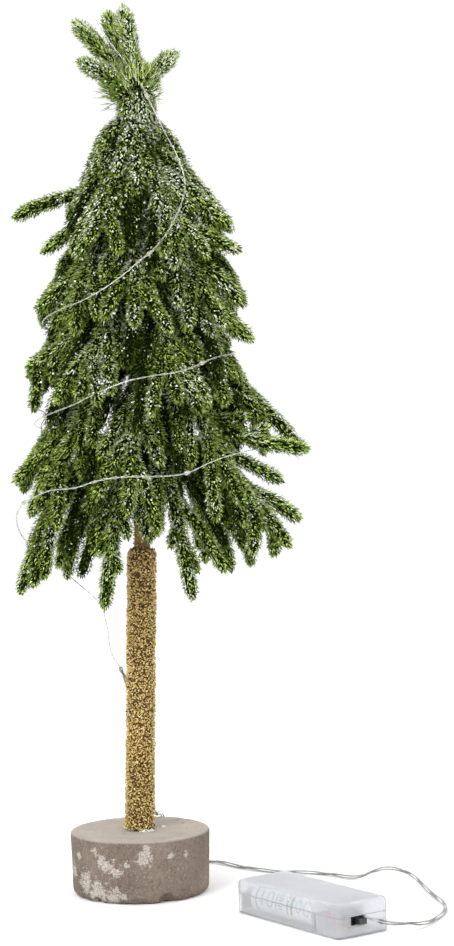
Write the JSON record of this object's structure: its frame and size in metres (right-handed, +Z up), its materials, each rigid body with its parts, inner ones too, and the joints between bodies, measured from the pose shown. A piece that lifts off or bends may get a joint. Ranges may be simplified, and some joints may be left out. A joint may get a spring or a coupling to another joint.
{
  "type": "artificial tabletop tree",
  "caption": "Tabletop tree with drooping chenille branches on a cork-bark trunk in a concrete base, wound with a fairy-light wire led to a two-cell battery box.",
  "frame": {"origin": "centre of the concrete base's underside", "axes": "+Z up along the trunk, -Y towards the front, +X to the front view's right"},
  "size_m": [0.2178, 0.1884, 0.464],
  "materials": {
    "concrete": "raw cast grey-beige, pin holes and pale bloom",
    "dowel_wood": "bare brown dowel",
    "cork_bark": "glued golden cork chips, dark gaps",
    "steel_wire": "bright steel wire",
    "chenille_green": "matt green pile with pale tips and glitter",
    "chenille_frosted": "green pile frosted with white flakes",
    "fairy_wire": "thin lacquered silver wire with clear beads",
    "clear_pvc": "clear soft lead",
    "frosted_plastic": "frosted clear moulding, smooth",
    "cell_jacket": "white printed jacket, plain green marks",
    "black_plastic": "black moulding",
    "nickel_plate": "nickel-plated spring steel",
    "red_insulation": "red wire insulation",
    "resistor_body": "lacquered tan body"
  },
  "bodies": {
    "tree": {"box_tray": "frosted_plastic", "branch_bottom_1": "chenille_green", "branch_bottom_2": "chenille_green", "branch_bottom_3": "chenille_green", "branch_bottom_4": "chenille_green", "branch_bottom_5": "chenille_green", "branch_bottom_6": "chenille_green", "branch_lower_1": "chenille_green", "branch_lower_2": "chenille_green", "branch_lower_3": "chenille_green", "branch_lower_4": "chenille_green", "branch_lower_5": "chenille_green", "branch_lower_6": "chenille_green", "branch_middle_1": "chenille_green", "branch_middle_2": "chenille_green", "branch_middle_3": "chenille_green", "branch_middle_4": "chenille_green", "branch_middle_5": "chenille_green", "branch_middle_6": "chenille_green", "branch_shoulder_1": "chenille_green", "branch_shoulder_2": "chenille_green", "branch_shoulder_3": "chenille_green", "branch_shoulder_4": "chenille_green", "branch_shoulder_5": "chenille_green", "branch_shoulder_6": "chenille_green", "branch_side_1": "chenille_green", "branch_top_1": "chenille_green", "branch_top_2": "chenille_green", "branch_top_3": "chenille_green", "branch_top_4": "chenille_green", "branch_upper_1": "chenille_green", "branch_upper_2": "chenille_green", "branch_upper_3": "chenille_green", "branch_upper_4": "chenille_green", "cell_front": "cell_jacket", "cell_rear": "cell_jacket", "concrete_base": "concrete", "crown_sprig_left": "chenille_frosted", "crown_sprig_low": "chenille_frosted", "crown_sprig_middle": "chenille_frosted", "crown_sprig_right": "chenille_frosted", "crown_sprig_tall": "chenille_frosted", "lead_cord": "clear_pvc", "lead_sleeve": "clear_pvc", "light_string": "fairy_wire", "link_plate": "nickel_plate", "link_spring": "nickel_plate", "neck_binding": "steel_wire", "negative_plate": "nickel_plate", "negative_spring": "nickel_plate", "negative_wire": "black_plastic", "positive_plate": "nickel_plate", "positive_wire": "red_insulation", "series_resistor": "resistor_body", "stem_rod": "steel_wire", "switch_body": "black_plastic", "trunk_bark": "cork_bark", "trunk_dowel": "dowel_wood"},
    "lid": {"box_cover": "frosted_plastic"},
    "switch": {"switch_knob": "black_plastic"}
  },
  "joints": [
    {"name": "cover_lift", "type": "slide", "parent": "tree", "child": "lid", "axis": [0, 0, 1], "range_m": [0, 0.03]},
    {"name": "switch_slide", "type": "slide", "parent": "tree", "child": "switch", "axis": [-0.8061, -0.5917, 0], "range_m": [0, 0.0036]}
  ]
}
